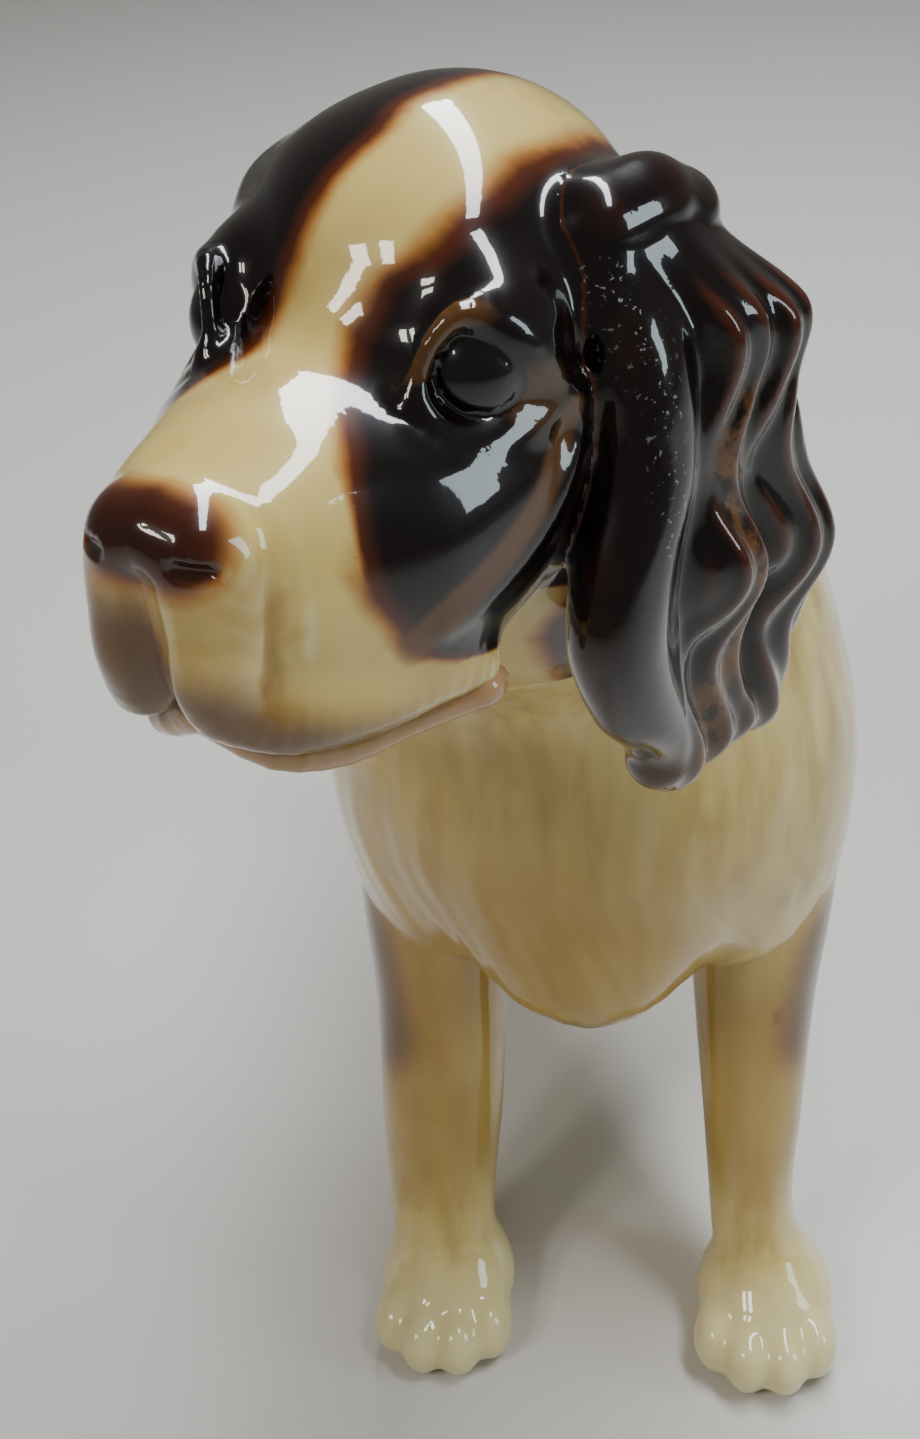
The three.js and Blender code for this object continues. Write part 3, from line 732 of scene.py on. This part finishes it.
class Glaze:
    """A glaze built coat by coat; every coat covers the ones before it by an amount from 0 to 1."""

    def __init__(self, slot, base):
        self.slot = slot
        self.material = bpy.data.materials.new(slot)
        self.material.use_nodes = True
        self.tree = self.material.node_tree
        self.shader = self.tree.nodes["Principled BSDF"]
        self.colour = self.constant(base)
        self.place = self.tree.nodes.new("ShaderNodeTexCoord").outputs["Object"]

    def constant(self, colour):
        """A colour as an output that coats can be laid over."""
        node = self.tree.nodes.new("ShaderNodeRGB")
        node.outputs[0].default_value = (*colour, 1)
        return node.outputs[0]

    def link(self, source, socket):
        """Feeds a socket from another node's output, or sets it to a plain value."""
        if hasattr(source, "is_output"):
            self.tree.links.new(source, socket)
        else:
            socket.default_value = source

    def mask(self, name):
        """A paint mask that make_piece wrote on the mesh."""
        node = self.tree.nodes.new("ShaderNodeAttribute")
        node.attribute_name = name
        return node.outputs["Fac"]

    def noise(self, size, detail=2.0, stretch=(1, 1, 1)):
        """Noise from 0 to 1 with features of about `size` millimetres."""
        mapping = self.tree.nodes.new("ShaderNodeMapping")
        mapping.inputs["Scale"].default_value = stretch
        self.link(self.place, mapping.inputs["Vector"])
        node = self.tree.nodes.new("ShaderNodeTexNoise")
        node.inputs["Scale"].default_value = 1 / (size * MM)
        node.inputs["Detail"].default_value = detail
        self.link(mapping.outputs["Vector"], node.inputs["Vector"])
        return node.outputs["Fac"]

    def work(self, kind, a, b):
        node = self.tree.nodes.new("ShaderNodeMath")
        node.operation = kind
        self.link(a, node.inputs[0])
        self.link(b, node.inputs[1])
        return node.outputs[0]

    def fade(self, value, low, high):
        """0 below low, 1 above high, smooth between; low may be the greater."""
        node = self.tree.nodes.new("ShaderNodeMapRange")
        node.interpolation_type = "SMOOTHSTEP"
        self.link(value, node.inputs["Value"])
        node.inputs["From Min"].default_value = min(low, high)
        node.inputs["From Max"].default_value = max(low, high)
        node.inputs["To Min"].default_value = 0.0 if low < high else 1.0
        node.inputs["To Max"].default_value = 1.0 if low < high else 0.0
        return node.outputs["Result"]

    def coat(self, colour, amount, most=1.0):
        """Lays a colour over the ones before it, by a share `most` of the amount."""
        if most < 1:
            amount = self.work("MULTIPLY", amount, most)
        node = self.tree.nodes.new("ShaderNodeMix")
        node.data_type = "RGBA"
        self.link(amount, node.inputs["Factor"])
        self.link(self.colour, node.inputs["A"])
        self.link(self.constant(colour), node.inputs["B"])
        self.colour = node.outputs["Result"]

    def uneven(self, value, size, depth):
        """A signed distance with its edge made uneven by `depth` millimetres."""
        wave = self.work("MULTIPLY", self.work("SUBTRACT", self.noise(size, 3.0), 0.5), depth * 2)
        return self.work("ADD", value, wave)

    def finish(self, roughness, ripple):
        """The clear coat, and the fine unevenness of a fired glaze."""
        self.link(self.colour, self.shader.inputs["Base Color"])
        self.link(roughness, self.shader.inputs["Roughness"])
        self.shader.inputs["IOR"].default_value = GLASS_IOR
        self.shader.inputs["Specular IOR Level"].default_value = 0.1
        self.shader.inputs["Coat Weight"].default_value = 1.0
        self.shader.inputs["Coat Roughness"].default_value = 0.04
        self.shader.inputs["Coat IOR"].default_value = GLASS_IOR
        bump = self.tree.nodes.new("ShaderNodeBump")
        bump.inputs["Strength"].default_value = ripple
        bump.inputs["Distance"].default_value = 0.05 * MM
        height = self.work("ADD", self.noise(2.2, 1.0), self.work("MULTIPLY", self.noise(0.5, 1.0), 0.25))
        self.link(height, bump.inputs["Height"])
        self.link(bump.outputs["Normal"], self.shader.inputs["Normal"])
        self.link(bump.outputs["Normal"], self.shader.inputs["Coat Normal"])
        return self


def lay_cream(glaze):
    """Ivory that is paler on ridges and browner where it pools, with fine stains."""
    ridge = glaze.mask("ridge")
    glaze.coat(SHADED, glaze.fade(glaze.noise(9, 3.0), 0.42, 0.75), 0.55)
    glaze.coat(PALE, glaze.fade(ridge, 0.15, 0.9), 0.7)
    glaze.coat(SHADED, glaze.fade(ridge, -0.1, -1.0), 0.85)
    glaze.coat(SHADED, glaze.fade(glaze.noise(1.4, 4.0), 0.6, 0.8), 0.18)


def lay_patch(glaze):
    """Dark patches with an airbrushed orange-brown edge."""
    edge = glaze.uneven(glaze.mask("patch"), 3.0, 0.5)
    glaze.coat(HALO, glaze.fade(edge, -1.5, -0.15), 0.85)
    glaze.coat(BROWN, glaze.fade(edge, -0.6, 0.35))
    glaze.coat(CHOCOLATE, glaze.fade(edge, 0.1, 1.6))


def patched_glaze():
    glaze = Glaze("patched_glaze", CREAM)
    lay_cream(glaze)
    glaze.coat(HALO, glaze.mask("whisker"), 0.22)
    lip = glaze.uneven(glaze.mask("lip"), 2.0, 0.4)
    glaze.coat(HALO, glaze.fade(lip, -3.2, 0.3), 0.35)
    glaze.coat(LIP, glaze.fade(lip, -2.0, 1.6), 0.85)
    lay_patch(glaze)
    worn = glaze.uneven(glaze.mask("thin"), 2.0, 0.12)
    glaze.coat(THIN, glaze.fade(worn, 0.25, 0.95), 0.6)
    nose = glaze.mask("nose")
    glaze.coat(HALO, glaze.fade(nose, -0.9, -0.1), 0.8)
    glaze.coat(BROWN, glaze.fade(nose, -0.35, 0.15))
    glaze.coat(CHOCOLATE, glaze.fade(nose, 0.0, 0.34), 0.6)
    glaze.coat(BLACK, glaze.fade(glaze.mask("eye"), -0.28, -0.16))
    return glaze.finish(0.28, 0.25)


def cream_glaze():
    glaze = Glaze("cream_glaze", CREAM)
    lay_cream(glaze)
    streaks = glaze.noise(3.0, 3.0, (1.0, 1.0, 0.16))
    glaze.coat(SHADED, glaze.fade(streaks, 0.45, 0.75), 0.6)
    glaze.coat(PALE, glaze.fade(streaks, 0.5, 0.25), 0.5)
    glaze.coat(PALE, glaze.mask("paw"), 0.75)
    # Painted shade on the middle of the chest.
    glaze.coat(SHADED, glaze.mask("chest_painted_shade"), 0.8)
    # Painted shade on the legs.
    glaze.coat(SHADED, glaze.mask("shank"), 0.7)
    brush = glaze.mask("brush")
    glaze.coat(TAN, brush, 0.8)
    glaze.coat(UMBER, glaze.fade(brush, 0.2, 1.0), 0.9)
    lay_patch(glaze)
    return glaze.finish(0.33, 0.3)


def chocolate_glaze():
    glaze = Glaze("chocolate_glaze", CHOCOLATE)
    ridge = glaze.mask("ridge")
    glaze.coat(BROWN, glaze.fade(ridge, 0.25, 1.2), 0.6)
    worn = glaze.work("MULTIPLY", glaze.mask("streak"), glaze.fade(glaze.noise(1.6, 4.0), 0.42, 0.58))
    glaze.coat(THIN, worn, 0.9)
    # Painted highlight on the ear's lower end.
    glaze.coat(THIN, glaze.mask("edge"), 0.35)
    # Dusty specks on the front lock, together with a painted dull reflection.
    specks = glaze.work("MULTIPLY", glaze.mask("dust_and_sheen"), glaze.fade(glaze.noise(0.35, 2.0), 0.62, 0.7))
    glaze.coat(DUST_AND_SHEEN, specks, 0.6)
    return glaze.finish(0.25, 0.5)


def lip_glaze():
    glaze = Glaze("lip_glaze", JAW_TAN)
    glaze.coat(SHADED, glaze.fade(glaze.noise(2.5, 3.0), 0.4, 0.7), 0.6)
    glaze.coat(BROWN, glaze.fade(glaze.mask("ridge"), -0.1, -0.9), 0.8)
    return glaze.finish(0.3, 0.3)


# ------------------------------------------------------------------ the castings

MARGIN = 6.0     # how far a sculpted casting may stand out from the box of its plain one
# Grid cells in millimetres, finer where there is more detail.
EAR_CELL = 0.36
FACE_CELL = 0.40
LIMB_CELL = 0.5
BODY_CELL = 0.6


def cast(node, form, cell, masks, glaze):
    """Sculpts the casting that stands for a node of the record."""
    low, high = (np.array(corner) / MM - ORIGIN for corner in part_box(node))
    piece = make_piece("glazed_" + node, form, low - MARGIN, high + MARGIN, cell, masks, glaze.material)
    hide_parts(node)


def castings():
    """Every casting, with its form, its cell size in millimetres, its masks and its glaze."""
    cream = cream_glaze()
    chocolate = chocolate_glaze()
    cast("head_shell", head_form, FACE_CELL, head_masks, patched_glaze())
    cast("lower_jaw", jaw_form, FACE_CELL, bright_ridges, lip_glaze())
    cast("trunk_shell", trunk_form, BODY_CELL, body_masks, cream)
    cast("tail", tail_form, LIMB_CELL, body_masks, cream)
    for side, word in ((1, "left"), (-1, "right")):
        cast(word + "_ear", ear_form(side), EAR_CELL, ear_masks(side), chocolate)
        cast(word + "_foreleg", leg_form(foreleg_clay, side), LIMB_CELL, body_masks, cream)
        cast(word + "_hindleg", leg_form(hindleg_clay, side), BODY_CELL, body_masks, cream)


castings()

# ------------------------------------------------------------------ floor, light and camera


FLOOR_REACH = 1.5


def floor():
    mesh = bpy.data.meshes.new("floor")
    corners = [(x * FLOOR_REACH, y * FLOOR_REACH, 0) for x, y in ((-1, -1), (1, -1), (1, 1), (-1, 1))]
    mesh.from_pydata(corners, [], [(0, 1, 2, 3)])
    material = bpy.data.materials.new("floor")
    material.use_nodes = True
    shader = material.node_tree.nodes["Principled BSDF"]
    shader.inputs["Base Color"].default_value = (0.62, 0.60, 0.56, 1)
    shader.inputs["Roughness"].default_value = 0.6
    mesh.materials.append(material)
    plane = bpy.data.objects.new("floor", mesh)
    bpy.context.scene.collection.objects.link(plane)


SUBJECT = Vector((0.0, -0.03, 0.10))     # what the lights face


def softbox(name, offset, along, size, power, colour):
    """A softbox that faces the head from an offset; its long side lies `along`."""
    light = bpy.data.lights.new(name, "AREA")
    light.shape = "RECTANGLE"
    light.size, light.size_y = size
    light.energy = power
    light.color = colour
    back = Vector(offset).normalized()
    long_side = Vector(along)
    long_side = (long_side - long_side.dot(back) * back).normalized()
    turn = Matrix((long_side.cross(back), long_side, back)).transposed().to_4x4()
    turn.translation = SUBJECT + Vector(offset)
    lamp = bpy.data.objects.new(name, light)
    lamp.matrix_world = turn
    bpy.context.scene.collection.objects.link(lamp)


def studio():
    world = bpy.data.worlds.new("studio")
    world.use_nodes = True
    back = world.node_tree.nodes["Background"]
    back.inputs["Color"].default_value = (1.0, 0.96, 0.90, 1)
    back.inputs["Strength"].default_value = 0.16
    bpy.context.scene.world = world
    softbox("skylight", (0.11, 0.12, 0.42), (0.43, -0.9, 0), (0.075, 0.62), 4.2, (0.88, 0.93, 1.0))
    softbox("window", (0.55, -0.10, 0.16), (0, 0, 1), (0.12, 0.26), 0.9, (0.78, 0.93, 1.0))
    for x in (-0.51, -0.33):
        softbox("pane", (x, -0.50, 0.62), (0, 0.78, 0.62), (0.09, 0.20), 1.4, (1.0, 0.96, 0.89))


CAMERA_PLACE = np.array([10.8, -146.9, 160.0])
CAMERA_TURN = math.radians(10)
CAMERA_PITCH = math.radians(35)
CAMERA_ROLL = math.radians(5.3)
LENS = 44.13     # millimetres, on a sensor whose long side is SENSOR
SENSOR = 36.0


def camera():
    """Looks down on the dog from close by, a little to its left of straight ahead."""
    ahead = Vector((-math.sin(CAMERA_TURN) * math.cos(CAMERA_PITCH),
                    math.cos(CAMERA_TURN) * math.cos(CAMERA_PITCH), -math.sin(CAMERA_PITCH)))
    level = Vector((math.cos(CAMERA_TURN), math.sin(CAMERA_TURN), 0))
    upright = level.cross(ahead)
    right = math.cos(CAMERA_ROLL) * level - math.sin(CAMERA_ROLL) * upright
    up = math.sin(CAMERA_ROLL) * level + math.cos(CAMERA_ROLL) * upright
    turn = Matrix((right, up, -ahead)).transposed().to_4x4()
    lens = bpy.data.cameras.new("camera")
    lens.sensor_width = SENSOR
    lens.lens = LENS
    lens.clip_start = 0.01
    eye = bpy.data.objects.new("camera", lens)
    turn.translation = Vector((CAMERA_PLACE + ORIGIN) * MM)
    eye.matrix_world = turn
    bpy.context.scene.collection.objects.link(eye)
    bpy.context.scene.camera = eye


floor()
studio()
camera()
